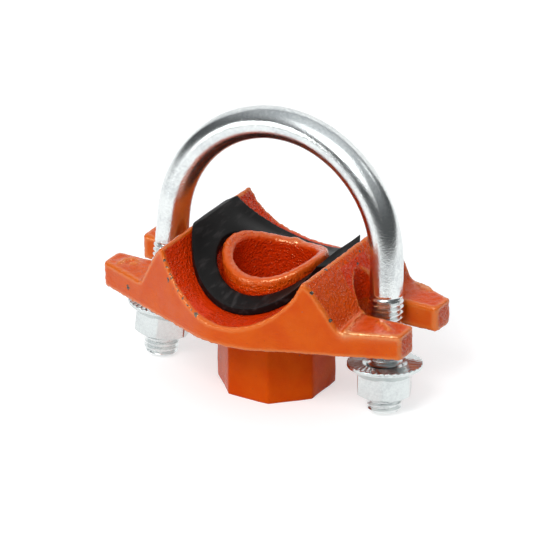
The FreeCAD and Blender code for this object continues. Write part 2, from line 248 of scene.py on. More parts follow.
def read_sharpness(obj: Shape, rounds: int = 2) -> Array:
    """How much each vertex of obj stands out from its neighbours, in millimetres.

    Args:
        obj: The object.
        rounds: Times that the result is averaged over the neighbours.

    Returns:
        One number for each vertex, above 0 on an outer edge and below 0 in a corner.
    """
    flat = np.empty(len(obj.data.edges) * 2, dtype=np.int32)
    obj.data.edges.foreach_get("vertices", flat)
    first, second = flat.reshape(-1, 2).T
    count = np.bincount(flat, minlength=len(obj.data.vertices))

    def average(values: Array) -> Array:
        """Mean of each vertex's neighbours, from one value for each vertex."""
        total = np.bincount(first, values[second], len(count))
        return (total + np.bincount(second, values[first], len(count))) / np.maximum(count, 1)

    points, normals = read_points(obj), read_rows(obj, "normal")
    middle = np.stack([average(points[:, axis]) for axis in range(3)], axis=1)
    sharpness = np.sum((points - middle) * normals, axis=1)
    for _ in range(rounds):
        sharpness = average(sharpness)
    return sharpness


def reach_of(points: Array) -> Array:
    """Distance of each point from the z axis."""
    return np.hypot(points[:, 0], points[:, 1])


def store(obj: Shape, name: str, values: Array) -> None:
    """Keep a number or a vector for each vertex as an attribute.

    Args:
        obj: The object.
        name: The attribute's name.
        values: One number or one row for each vertex.
    """
    kind, field = ("FLOAT", "value") if values.ndim == 1 else ("FLOAT_VECTOR", "vector")
    attribute = obj.data.attributes.new(name, kind, "POINT")
    attribute.data.foreach_set(field, values.astype(np.float32).ravel())


def weigh(obj: Shape, name: str, weights: Array, levels: int = 20) -> None:
    """Give an object a vertex group with a weight for each vertex.

    Args:
        obj: The object.
        name: The group's name.
        weights: One number from 0 to 1 for each vertex.
        levels: Steps that the weights are rounded to.
    """
    group = obj.vertex_groups.new(name=name)
    rounded = np.rint(np.clip(weights, 0, 1) * levels).astype(int)
    for level in np.unique(rounded):
        group.add(np.flatnonzero(rounded == level).tolist(), float(level) / levels, "REPLACE")


def smoothstep(value: Array, low: float, high: float) -> Array:
    """Rise smoothly from 0 at low to 1 at high."""
    t = np.clip((value - low) / (high - low), 0, 1)
    return t * t * (3 - 2 * t)


def draw_line(name: str, profile: Sequence[Point]) -> Shape:
    """Draw a line of vertices, extruded one from the next.

    Args:
        name: The new object's name.
        profile: Corners of the line.

    Returns:
        The object, at the origin.
    """
    bpy.ops.object.select_all(action="DESELECT")
    bpy.ops.mesh.primitive_plane_add(size=MM)
    line = bpy.context.object
    line.name = name
    places = [Vector(corner) * MM for corner in profile]
    with editing(line):
        bpy.ops.mesh.merge(type="CENTER")
        bpy.ops.transform.translate(value=places[0])
        for start, end in zip(places, places[1:]):
            bpy.ops.mesh.extrude_vertices_move(TRANSFORM_OT_translate={"value": end - start})
    return line


def lathe(name: str, profile: Sequence[Point], steps: int) -> Shape:
    """Turn a line once about the z axis, and close the seam and the poles.

    Args:
        name: The new object's name.
        profile: Corners of the line.
        steps: Faces in one turn.

    Returns:
        The turned solid, at the origin.
    """
    turned = draw_line(name, profile)
    with editing(turned):
        bpy.ops.mesh.spin(steps=steps, angle=FULL_TURN, center=(0, 0, 0), axis=(0, 0, 1))
        bpy.ops.mesh.select_all(action="SELECT")
        bpy.ops.mesh.remove_doubles(threshold=TINY)
        bpy.ops.mesh.normals_make_consistent(inside=False)
    return turned


def sweep_thread(
    name: str,
    profile: Sequence[Point],
    steps: int,
    ends: Span,
    drop: float = 0.0,
    **cut: object,
) -> Shape:
    """Sweep the profile of one pitch into a thread round the z axis, and cut it to length.

    Args:
        name: The new object's name.
        profile: Corners from the bottom of one pitch to its top.
        steps: Faces in one turn.
        ends: Heights of the two cuts.
        drop: How much more than a pitch the thread starts below 0.
        cut: Settings of the cuts.

    Returns:
        The thread, at the origin.
    """
    pitch = profile[-1][2]
    thread = draw_line(name, profile)
    turns = {"iterations": math.ceil(ends[1] / pitch) + 2, "screw_offset": pitch * MM}
    facets = {"steps": steps, "render_steps": steps, "use_merge_vertices": True}
    use_modifier(thread, "SCREW", axis="Z", angle=FULL_TURN, **turns, **facets)
    with editing(thread):
        bpy.ops.mesh.remove_doubles(threshold=TINY)
        bpy.ops.transform.translate(value=(0, 0, -(pitch + drop) * MM))
        for height, above in zip(ends, (False, True)):
            bpy.ops.mesh.select_all(action="SELECT")
            plane = {"plane_co": (0, 0, height * MM), "plane_no": (0, 0, 1)}
            bpy.ops.mesh.bisect(**plane, clear_outer=above, clear_inner=not above, **cut)
    return thread


def copy_solid(node: str, name: str) -> Shape:
    """Copy a CAD node's mesh into a new object and merge its loose triangles.

    Args:
        node: The CAD node.
        name: The new object's name.

    Returns:
        The new object.
    """
    copied = bpy.data.objects.new(name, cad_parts[node].data.copy())
    copied.data.name = name
    copied.data.materials.clear()
    bpy.context.scene.collection.objects.link(copied)
    with editing(copied):
        bpy.ops.mesh.remove_doubles(threshold=TINY)
    return copied


def reskin(obj: Shape, voxel: float, smoothing: int) -> None:
    """Cover obj with an even skin of faces voxel wide, and smooth it a few times."""
    use_modifier(obj, "REMESH", mode="VOXEL", voxel_size=voxel * MM, use_smooth_shade=True)
    use_modifier(obj, "SMOOTH", factor=0.5, iterations=smoothing)


def smooth_below(obj: Shape, degrees: float) -> None:
    """Shade obj smooth, apart from its edges that turn by more than some degrees."""
    choose(obj)
    bpy.ops.object.shade_smooth_by_angle(angle=math.radians(degrees))


def keep_in_box(obj: Shape, node: str) -> None:
    """Bring stray vertices of obj back inside the box of its CAD node."""
    low, high = (np.array(corner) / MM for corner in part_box(node))
    write_points(obj, np.clip(read_points(obj), low, high))


def dress(obj: Shape, material: Material) -> None:
    """Give obj one material and nothing else."""
    obj.data.materials.clear()
    obj.data.materials.append(material)


# Finishes


class Follow(Enum):
    """What a finish's pattern follows."""

    SPACE = "the object's own coordinates"
    BAR = "the length and turn of a bent bar"


@dataclass(frozen=True)
class EnamelOnCastIron:
    """Orange-red alkyd enamel, dipped over a sand-cast iron surface.

    The sand's grain shows through the paint as small bumps, each with a wet glint, and
    the paint is off in a few places, down to dark grey iron. The glint's gold is matched
    to the photograph, and isn't a property that such paint is known to have.
    """

    # Colours: thick and thin paint in soft patches, then a redder paint of pooled paint and painted
    # shade, edges lighter by wear and painted highlight, and bare iron
    paint: Stops = ((0.35, "#CF4A07"), (0.65, "#D5560A"))
    # Redder paint in hollows and on faces away from the front: pooled paint, and painted shade
    pooled: str = "#D43303"
    # Lighter paint on convex edges: paint worn thin, and a painted highlight
    edge: str = "#DA6414"
    iron: Stops = ((0.46, "#2B2623"), (0.6, "#77706A"))
    glint: str = "#FFE2AD"
    # Sizes of the patterns, and heights of their bumps
    patch: float = 7.0
    grain: float = 0.65
    grain_height: float = 0.8
    fine_grain: float = 0.3
    fine_height: float = 0.12
    fine_strength: float = 0.5
    # The grain makes a chip's rim ragged: how much, and where paint ends and iron starts
    ragged: float = 2.6
    bare: Span = (1.95, 2.07)
    # Where on the grain its wet tops start, and how much of the sheen is theirs alone
    tops: Span = (0.48, 0.6)
    sheen: float = 0.75
    glint_share: float = 0.88
    # Roughness from the grain's hollows to its tops
    hollow_to_top: Span = (0.3, 0.7)
    roughness: Span = (0.19, 0.1)
    ior: float = 1.5

    def material(self) -> Material:
        """Make the material.

        Returns:
            The material, which reads the casting's attributes.
        """
        made = bpy.data.materials.new("orange_enamel_on_cast_iron")
        add = empty_tree(made)
        place = add("TexCoord", give="Object")
        patches, coarse, fine = (
            add(
                "TexNoise",
                {"Vector": place, "Scale": per_size(size), "Detail": detail, "Roughness": rough},
            )
            for size, detail, rough in (
                (self.patch, 3.0, 0.5),
                (self.grain, 2.0, 0.45),
                (self.fine_grain, 2.0, 0.5),
            )
        )
        pooled, edge, chip, wet, grain = (
            add("Attribute", give="Fac", attribute_name=name)
            for name in ("pooled", "edge", "chip", "wet", "grain")
        )
        rim = add("Math", {0: coarse, 1: self.ragged, 2: chip}, operation="MULTIPLY_ADD")
        bare = add("MapRange", dict(zip(MAP, (rim, *self.bare))))
        iron = add("ValToRGB", {"Fac": fine}, self.iron)
        shown = add("ValToRGB", {"Fac": patches}, self.paint)
        # Over the paint go the redder painted shade with pooled paint, the lighter painted
        # highlight with wear on edges, and bare iron
        layers = ((pooled, linear(self.pooled)), (edge, linear(self.edge)), (bare, iron))
        for share, colour in layers:
            shown = add("Mix", {0: share, 6: shown, 7: colour}, give=2, data_type="RGBA")
        # Where the surface is grainy, only the tops of its grain carry a thick, wet film
        hollow_sheen = (1 - self.glint_share) * self.sheen
        tops = add("MapRange", dict(zip(MAP, (coarse, *self.tops, hollow_sheen, self.sheen))))
        film = add("Mix", {0: grain, 2: self.sheen, 3: tops})
        shine = add("Math", {0: wet, 1: film}, operation="MULTIPLY")
        gloss = add("MapRange", dict(zip(MAP, (coarse, *self.hollow_to_top, *self.roughness))))
        bumps = {"Strength": grain, "Distance": self.grain_height * MM, "Height": coarse}
        low = add("Bump", bumps)
        high = {"Strength": self.fine_strength, "Distance": self.fine_height * MM}
        shader = add(
            "BsdfPrincipled",
            {
                "Base Color": shown,
                "Roughness": gloss,
                "IOR": self.ior,
                "Specular IOR Level": shine,
                "Specular Tint": linear(self.glint),
                "Normal": add("Bump", {**high, "Height": fine, "Normal": low}),
            },
        )
        add("OutputMaterial", {"Surface": shader})
        return made


@dataclass(frozen=True)
class MouldedRubber:
    """Black EPDM rubber, moulded, with a fine matt skin and grey scuffs."""

    shade: Stops = ((0.52, "#060505"), (0.72, "#2E2B2B"))
    skin: float = 0.45
    skin_height: float = 0.06
    skin_strength: float = 0.35
    scuff: float = 1.6
    scuff_stretch: float = 0.22
    roughness: float = 0.5
    sheen: float = 0.22
    ior: float = 1.52

    def material(self) -> Material:
        """Make the material.

        Returns:
            The material.
        """
        made = bpy.data.materials.new("black_moulded_rubber")
        add = empty_tree(made)
        place = add("TexCoord", give="Object")
        stretched = add("Mapping", {"Vector": place, "Scale": (1.0, self.scuff_stretch, 1.0)})
        skin, scuffs = (
            add("TexNoise", {"Vector": along, "Scale": per_size(size), "Detail": detail})
            for along, size, detail in ((place, self.skin, 3.0), (stretched, self.scuff, 4.0))
        )
        bump = {"Strength": self.skin_strength, "Distance": self.skin_height * MM}
        shader = add(
            "BsdfPrincipled",
            {
                "Base Color": add("ValToRGB", {"Fac": scuffs}, self.shade),
                "Roughness": self.roughness,
                "IOR": self.ior,
                "Specular IOR Level": self.sheen,
                "Normal": add("Bump", {**bump, "Height": skin}),
            },
        )
        add("OutputMaterial", {"Surface": shader})
        return made


@dataclass(frozen=True)
class BrightZincPlate:
    """Bright zinc electroplate over drawn or forged steel.

    The plate is silver with a cold tint, and mottled where the steel below was rough.
    """

    name: str
    follow: Follow
    light: str = "#E6EAE9"
    dull: str = "#D2D7D8"
    light_to_dull: Span = (0.16, 0.36)
    cloud: float = 9.0
    mottle: float = 0.8
    pit: float = 0.42
    pit_depth: float = 0.05
    # The real draw lines are finer than this, and wouldn't show
    line_size: float = 0.5
    line_stretch: float = 0.12
    line_depth: float = 0.02
    line_strength: float = 0.2
    # Roughness from the clear plate to the mottled
    clear_to_mottled: Span = (0.12, 0.4)
    roughness: Span = (0.12, 0.27)

    def material(self) -> Material:
        """Make the material.

        Returns:
            The material, which reads a bent bar's own coordinates where it follows one.
        """
        made = bpy.data.materials.new(self.name)
        add = empty_tree(made)
        if self.follow is Follow.BAR:
            place = add("Attribute", give="Vector", attribute_name="along_bar")
        else:
            place = add("TexCoord", give="Object")
        drawn = add("Mapping", {"Vector": place, "Scale": (1.0, 1.0, self.line_stretch)})
        streaks, speckle, cloudy, pitted = (
            add(
                "TexNoise",
                {"Vector": along, "Scale": per_size(size), "Detail": detail, "Roughness": rough},
            )
            for along, size, detail, rough in (
                (drawn, self.line_size, 3.0, 0.5),
                (place, self.mottle, 4.0, 0.6),
                (place, self.cloud, 2.0, 0.5),
                (place, self.pit, 2.0, 0.6),
            )
        )
        both = add("Math", {0: speckle, 1: cloudy}, operation="MULTIPLY")
        tones = tuple(zip(self.light_to_dull, (self.light, self.dull)))
        gloss = add("MapRange", dict(zip(MAP, (both, *self.clear_to_mottled, *self.roughness))))
        pits = add("Bump", {"Strength": 1.0, "Distance": self.pit_depth * MM, "Height": pitted})
        lines = {"Strength": self.line_strength, "Distance": self.line_depth * MM}
        shader = add(
            "BsdfPrincipled",
            {
                "Base Color": add("ValToRGB", {"Fac": both}, tones),
                "Metallic": 1.0,
                "Roughness": gloss,
                "Normal": add("Bump", {**lines, "Height": streaks, "Normal": pits}),
            },
        )
        add("OutputMaterial", {"Surface": shader})
        return made


@dataclass(frozen=True)
class WhiteSweep:
    """Matt white paper sweep, which looks white and keeps a faint shadow."""

    paper: str = "#E2E2E2"
    seen_paper: str = "#CCCCCC"
    own_light: float = 0.54
    # Mirrored in the object, the white ends between two distances in front of it
    end: Span = (205.0, 420.0)
    far_share: float = 0.25
    towards: Point = (0.52, -0.85, 0)

    def material(self) -> Material:
        """Make the material.

        Returns:
            The material, which differs for the camera, for mirror images and for light.
        """
        made = bpy.data.materials.new("white_paper_sweep")
        add = empty_tree(made)
        paper, seen_paper = (
            add("BsdfDiffuse", {"Color": linear(tone)}) for tone in (self.paper, self.seen_paper)
        )
        glow = add("Emission", {"Color": linear("#FFFFFF"), "Strength": self.own_light})
        lit = add("AddShader", {0: seen_paper, 1: glow})
        seen, mirrored, through = (
            add("LightPath", give=f"Is {kind} Ray") for kind in ("Camera", "Glossy", "Transmission")
        )
        direct = add("Math", {0: seen, 1: through}, operation="ADD", use_clamp=True)
        mixed = add("MixShader", {0: mirrored, 1: paper, 2: self.end_of_table(add, lit)})
        mixed = add("MixShader", {0: direct, 1: mixed, 2: lit})
        add("OutputMaterial", {"Surface": mixed})
        return made

    def end_of_table(self, add: AddNode, lit: Socket) -> Socket:
        """Let the white end a little in front of the object, as its mirror image shows.

        Args:
            add: add_node for the tree.
            lit: The shader of the white surface.

        Returns:
            The shader that fades from the white to a dim room.
        """
        place = add("TexCoord", give="Object")
        dot = {0: place, 1: self.towards}
        forward = add("VectorMath", dot, give="Value", operation="DOT_PRODUCT")
        start, end = (distance * MM for distance in self.end)
        values = (forward, start, end, 0.0, 1 - self.far_share)
        beyond = add("MapRange", dict(zip(MAP, values)))
        room = add("Emission", {"Color": linear("#000000")})
        return add("MixShader", {0: beyond, 1: lit, 2: room})


# Pieces


@dataclass(frozen=True)
class Mark:
    """A small spot on the casting where its paint is off."""

    at: Point
    radius: float


@dataclass(frozen=True)
class Ridge:
    """A raised line on the casting, left by the mould."""

    path: Sequence[Point]
    radius: float
    height: float

    def distance(self, points: Array) -> Array:
        """Measure how far points are from the line.

        Args:
            points: Rows of x, y and z.

        Returns:
            One distance for each row.
        """
        away = np.linalg.norm(points - np.array(self.path[0]), axis=1)
        for start, end in zip(self.path, self.path[1:]):
            first, step = np.array(start), np.array(end) - np.array(start)
            share = np.clip((points - first) @ step / (step @ step), 0, 1)
            foot = first + share[:, None] * step
            away = np.minimum(away, np.linalg.norm(points - foot, axis=1))
        return away

    def swell(self, points: Array, width: float) -> Array:
        """Rise to 1 on the line, from 0 a few widths away from it."""
        return np.exp(-((self.distance(points) / width) ** 2))


@dataclass
class Piece:
    """What each piece is told: its finish, its body, the CAD node it stands for, its slot (not
    used).
    """

    material: Material
    body: str
    node: str | None
    slot: str

    def build(self) -> Shape:
        """Make the mesh, which each kind of piece does in its own way."""
        raise NotImplementedError

    def install(self) -> None:
        """Build the piece, dress it, and attach it to the frame."""
        piece = self.build()
        dress(piece, self.material)
        attach(piece, self.body, self.node)


@dataclass
class Casting(Piece):
    """The saddle with its wings, slotted lugs, collar and octagonal outlet.

    Each vertex keeps what the enamel reads: grain, wet and chip, the lighter edges of wear and
    painted highlight, and the redder hollows of pooled paint and painted shade.
    """

    chips: Sequence[Mark] = ()
    ridges: Sequence[Ridge] = ()
    # Skin, with its sand-cast lumps and the mould's long waves
    voxel: float = 0.48
    smoothing: int = 5
    lump_size: float = 1.2
    lump_height: float = 0.36
    wave_size: float = 7.0
    wave_height: float = 0.3
    # Forms of the solid
    thread_wall: float = 10.7
    thread_end: float = 17.7
    outlet_radius: float = 19.0
    outlet_top: float = 23.6
    lug_top: float = 31.6
    slot_start: float = 25.5
    slot_side: float = 6.6
    collar_radius: float = 15.3
    collar_foot: float = 15.9
    collar_edge: float = 17.0
    collar_rise: float = 8.3
    waterway_radius: float = 12.0
    saddle_axis: float = 54.5
    saddle_radius: float = 24.6
    # How squarely a plain face looks to the front or up, and how sharp an edge is
    squarely: Span = (0.8, 0.95)
    sharp: Span = (0.005, 0.02)
    # Shares of the lumps that a plain front loses and the outlet keeps, and of the fine
    # grain that edges and the lugs' tops lose
    front_calm: float = 0.92
    outlet_rough: float = 0.12
    grain_loss: float = 0.75
    # Edges painted lighter, partly paint worn thin and partly a painted highlight, less on the
    # collar's
    edge_wear_and_highlight: float = 0.8
    collar_wear_and_highlight: float = 0.3
    # Wetness of the film, less what it loses on plain fronts and tops, and what worn
    # ridges gain
    wetness: float = 0.9
    front_dry: float = 0.52
    top_dry: float = 0.7
    outlet_wet: float = 0.08
    worn_gloss: float = 2.6
    # Redder paint, partly pooled paint and partly painted shade, all over the outlet and on faces
    # that don't look to the front or back, and how it fades out round the trough, the throat and
    # the space below the collar's rim
    outlet_pooling_and_shade: float = 0.1
    grain_pooling_and_shade: float = 0.35
    trough_fade: Span = (0.3, 1.2)
    throat_fade: Span = (0.2, 0.8)
    rim_fade: Span = (1.8, 4.6)
    # Bare iron and its rim, in radii of a chip
    chip_fade: Span = (0.5, 1.8)

    def build(self) -> Shape:
        """Make the casting from its CAD solid.

        Returns:
            The casting.
        """
        casting = copy_solid("housing", "housing_casting")
        reskin(casting, self.voxel, self.smoothing)
        self.open_thread_bore(casting)
        self.raise_marks(casting)
        self.roughen(casting)
        self.chip(casting)
        keep_in_box(casting, "housing")
        return casting

    def open_thread_bore(self, casting: Shape) -> None:
        """Widen the outlet's bore so that the thread can sit in its wall.

        Args:
            casting: The casting.
        """
        points = read_points(casting)
        reach = reach_of(points)
        inner = (reach < self.thread_wall) & (points[:, 2] < self.thread_end)
        factor = np.where(inner, self.thread_wall / np.maximum(reach, 1), 1)
        points[:, :2] *= factor[:, None]
        write_points(casting, points)

    def raise_marks(self, casting: Shape) -> None:
        """Raise the mould's marks out of the surface.

        Args:
            casting: The casting.
        """
        points, normals = read_points(casting), read_rows(casting, "normal")
        for ridge in self.ridges:
            lift = ridge.height * ridge.swell(points, ridge.radius)
            points += normals * lift[:, None]
        write_points(casting, points)

    def roughen(self, casting: Shape) -> None:
        """Give the surface its sand-cast lumps, and keep how grainy and wet it is, how much its
        edges are lighter by wear and painted highlight, and how much it is redder by pooled paint
        and painted shade.

        Args:
            casting: The casting.
        """
        points, normals = read_points(casting), read_rows(casting, "normal")
        height = points[:, 2]
        reach = reach_of(points)
        front = smoothstep(np.abs(normals[:, 1]), *self.squarely)
        front *= reach > self.collar_radius + 1
        outlet = (reach < self.outlet_radius) & (height < self.outlet_top)
        rough = np.where(outlet, self.outlet_rough, 1 - self.front_calm * front)
        edge = smoothstep(read_sharpness(casting), *self.sharp)
        top = smoothstep(normals[:, 2], *self.squarely) * (height > self.lug_top - 1)
        store(casting, "grain", rough * (1 - self.grain_loss * np.maximum(top, edge)))
        # Lighter paint on the edges, partly wear and partly painted highlight
        worn_and_highlit = np.where(outlet, 0.0, self.edge_wear_and_highlight) * edge
        store(casting, "edge", worn_and_highlit * np.where(reach < self.collar_edge, self.collar_wear_and_highlight, 1))
        film = self.wetness - self.front_dry * front - self.top_dry * top
        wet = np.where(outlet, self.outlet_wet, film + edge)
        for ridge in self.ridges:
            wet += self.worn_gloss * ridge.swell(points, 2 * ridge.radius)
        store(casting, "wet", wet)
        # Redder paint on the outlet, in the hollows and on faces that don't look to the front or
        # back: pooled paint, and painted shade
        pooled_and_shaded = np.where(outlet, self.outlet_pooling_and_shade, self.grain_pooling_and_shade * (1 - front))
        store(casting, "pooled", np.maximum(self.hollows(points, reach), pooled_and_shaded))
        weigh(casting, "rough", rough)
        displace(casting, "sand_lumps", self.lump_size, self.lump_height, group="rough")
        displace(casting, "mould_waves", self.wave_size, self.wave_height)

    def hollows(self, points: Array, reach: Array) -> Array:
        """Find the hollows, where the paint turns redder, partly pooled paint and partly painted
        shade.

        Args:
            points: The casting's points.
            reach: Their distances from the collar's axis.

        Returns:
            One number for each point, up to 1 in a hollow.
        """
        side, depth, height = points.T
        from_axis = np.hypot(side, height - self.saddle_axis)
        trough = 1 - smoothstep(from_axis - self.saddle_radius, *self.trough_fade)
        trough *= reach > self.collar_foot
        throat = 1 - smoothstep(reach - self.waterway_radius, *self.throat_fade)
        dip = np.sqrt(self.saddle_radius**2 - np.minimum(side, self.collar_radius + 0.2) ** 2)
        rim = self.saddle_axis + self.collar_rise - dip
        below_rim = smoothstep(rim - height, *self.rim_fade) * (reach > self.waterway_radius)
        below_rim *= (reach < self.collar_foot) & (height > self.lug_top - 3)
        slot = (np.abs(depth) < self.slot_side) & (height > self.lug_top - 0.6)
        slot &= np.abs(side) > self.slot_start
        return np.maximum.reduce([trough, throat, below_rim, slot.astype(float)])

    def chip(self, casting: Shape) -> None:
        """Keep where the paint is off.

        Args:
            casting: The casting.
        """
        points = read_points(casting)
        bare = np.zeros(len(points))
        for mark in self.chips:
            away = np.linalg.norm(points - np.array(mark.at), axis=1)
            fade = (share * mark.radius for share in self.chip_fade)
            bare = np.maximum(bare, 1 - smoothstep(away, *fade))
        store(casting, "chip", bare)


@dataclass
class OutletThread(Piece):
    """Parallel pipe thread cut in the outlet, as a threaded ring set in the casting's wall."""

    pitch: float = 1.814
    flat_share: float = 0.14
    crest: float = 9.33
    root: float = 10.42
    mouth: float = 10.8
    start: float = 0.15
    depth: float = 15.0
    run_out: float = 1.6
    wall: float = 0.5
    steps: int = 72
    smooth: float = 35.0
    grain: float = 0.1
    wetness: float = 0.5

    def build(self) -> Shape:
        """Sweep the thread, cut it to length and give it a wall.

        Returns:
            The threaded ring.
        """
        flat = self.pitch * self.flat_share
        flank = self.pitch / 2 - flat
        profile = [
            (self.crest, 0, 0),
            (self.crest, 0, flat),
            (self.root, 0, flat + flank),
            (self.root, 0, 2 * flat + flank),
            (self.crest, 0, self.pitch),
        ]
        thread = sweep_thread("outlet_thread", profile, self.steps, (self.start, self.depth))
        with editing(thread):
            bpy.ops.mesh.normals_make_consistent(inside=True)
        self.run_into_wall(thread)
        use_modifier(thread, "SOLIDIFY", thickness=self.wall * MM, offset=-1.0)
        smooth_below(thread, self.smooth)
        for name, value in (("grain", self.grain), ("wet", self.wetness)):
            store(thread, name, np.full(len(thread.data.vertices), value))
        return thread

    def run_into_wall(self, thread: Shape) -> None:
        """Let both ends of the thread die away in the countersink and in the wall.

        Args:
            thread: The thread.
        """
        points = read_points(thread)
        reach = reach_of(points)
        height = points[:, 2]
        sunk = self.mouth - height
        ended = self.crest + (height - (self.depth - self.run_out))
        wanted = np.minimum(np.maximum.reduce([reach, sunk, ended]), self.mouth)
        points[:, :2] *= (wanted / reach)[:, None]
        write_points(thread, points)


@dataclass
class SaddleGasket(Piece):
    """The rubber ring round the collar."""

    voxel: float = 0.26
    smoothing: int = 3
    wave_size: float = 9.0
    wave_height: float = 0.16
    hole_centre: Span = (-0.95, 0.3)
    hole_radius: float = 16.5
    lift_width: float = 6.5
    lift_height: float = 1.5

    def build(self) -> Shape:
        """Make the gasket from its CAD solid.

        Returns:
            The gasket.
        """
        gasket = copy_solid("gasket", "saddle_gasket")
        reskin(gasket, self.voxel, self.smoothing)
        self.lift_inner_edge(gasket)
        displace(gasket, "mould_waviness", self.wave_size, self.wave_height, mid_level=1.0)
        keep_in_box(gasket, "gasket")
        return gasket

    def lift_inner_edge(self, gasket: Shape) -> None:
        """Let the ring stand a little off the saddle round its hole, as it isn't pressed yet.

        Args:
            gasket: The gasket.
        """
        points = read_points(gasket)
        across, along = self.hole_centre
        reach = np.hypot(points[:, 0] - across, points[:, 1] - along)
        settled = smoothstep(reach - self.hole_radius, 0, self.lift_width)
        points[:, 2] += self.lift_height * (1 - settled)
        write_points(gasket, points)


@dataclass
class UBolt(Piece):
    """Round bar bent to an arch, with a rolled thread on each leg."""

    shank: float = 4.8
    crest: float = 5.0
    root: float = 4.02
    pitch: float = 1.5
    crest_share: float = 0.16
    root_share: float = 0.12
    # So small a drop that it doesn't show, and no corner of the thread lies in a cut
    drop: float = 0.007
    thread_length: float = 35.3
    run_out: float = 2.2
    tip_chamfer: float = 1.0
    arch_radius: float = 35.6
    arch_height: float = 42.2
    tip_reach: float = 37.7065
    splay: float = 2.8
    lean: float = 7.2
    tip_place: Point = (0.0, -3.1565, 0.6767)
    steps: int = 40
    smooth: float = 50.0

    def leg_length(self) -> float:
        """Length of the straight part of one leg."""
        splay = math.radians(self.splay)
        return (self.arch_height + self.arch_radius * math.sin(splay)) / math.cos(splay)

    def arc_length(self) -> float:
        """Length of the bar's centre line round the arch."""
        return self.arch_radius * (math.pi - 2 * math.radians(self.splay))

    def place(self) -> Matrix:
        """Placement of the upright U-bolt, leaning back in the slots, in millimetres."""
        lean = Matrix.Rotation(math.radians(-self.lean), 4, "X")
        return Matrix.Translation(self.tip_place) @ lean

    def build(self) -> Shape:
        """Thread a straight bar along its whole length, ease it to the shank, and bend it.

        Returns:
            The bent bar.
        """
        length = 2 * self.leg_length() + self.arc_length()
        bar = self.threaded_bar(length)
        points = read_points(bar)
        self.ease_to_shank(points, length)
        store(bar, "along_bar", points * MM)
        write_points(bar, self.bend(points))
        with editing(bar):
            bpy.ops.mesh.normals_make_consistent(inside=False)
        smooth_below(bar, self.smooth)
        keep_in_box(bar, "u_bolt")
        return bar

    def threaded_bar(self, length: float) -> Shape:
        """Sweep one pitch of the thread's profile along the bar, and cut it to length.

        Args:
            length: The bar's length.

        Returns:
            The straight bar, threaded from end to end.
        """
        crest = self.pitch * self.crest_share
        root = self.pitch * self.root_share
        flank = (self.pitch - crest - root) / 2
        middle = (self.crest + self.root) / 2
        profile = [
            (self.crest, 0, 0),
            (self.crest, 0, crest),
            (middle, 0, crest + flank / 2),
            (self.root, 0, crest + flank),
            (self.root, 0, crest + flank + root),
            (middle, 0, crest + 1.5 * flank + root),
            (self.crest, 0, self.pitch),
        ]
        cut = {"threshold": TINY / 2, "use_fill": True}
        return sweep_thread("u_bolt_bar", profile, self.steps, (0.0, length), self.drop, **cut)

    def ease_to_shank(self, points: Array, length: float) -> None:
        """Fade the thread into the plain shank, and chamfer both tips.

        Args:
            points: Points of the straight bar, changed in place.
            length: The bar's length.
        """
        reach = reach_of(points)
        from_tip = np.minimum(points[:, 2], length - points[:, 2])
        end = self.thread_length
        plain = smoothstep(from_tip, end - self.run_out, end)
        wanted = reach + (self.shank - reach) * plain
        wanted = np.minimum(wanted, self.crest - self.tip_chamfer + from_tip)
        # A point on the bar's axis has no direction to be moved in
        scale = np.where(reach > 0.1, wanted / np.maximum(reach, 0.1), 1)
        points[:, :2] *= scale[:, None]

    def bend(self, points: Array) -> Array:
        """Bend the straight bar into the arch and its legs, and lean it back.

        Args:
            points: Points of the straight bar.

        Returns:
            The bent bar's points.
        """
        leg = self.leg_length()
        splay = math.radians(self.splay)
        inward, sideways, along = points.T
        turned = np.clip((along - leg) / self.arch_radius, 0, math.pi - 2 * splay)
        # Angle of the outward normal, from straight left over the top to straight right
        angle = math.pi - splay - turned
        out_x, out_z = np.cos(angle), np.sin(angle)
        # How far along the straight legs a point is, before the arch or after it
        run = np.minimum(along - leg, 0) + np.maximum(along - leg - self.arc_length(), 0)
        line_x = self.arch_radius * out_x + run * out_z
        line_z = self.arch_height + self.arch_radius * out_z - run * out_x
        upright = [line_x + inward * out_x, -sideways, line_z + inward * out_z]
        place = np.array(self.place())
        return np.stack(upright, axis=1) @ place[:3, :3].T + place[:3, 3]


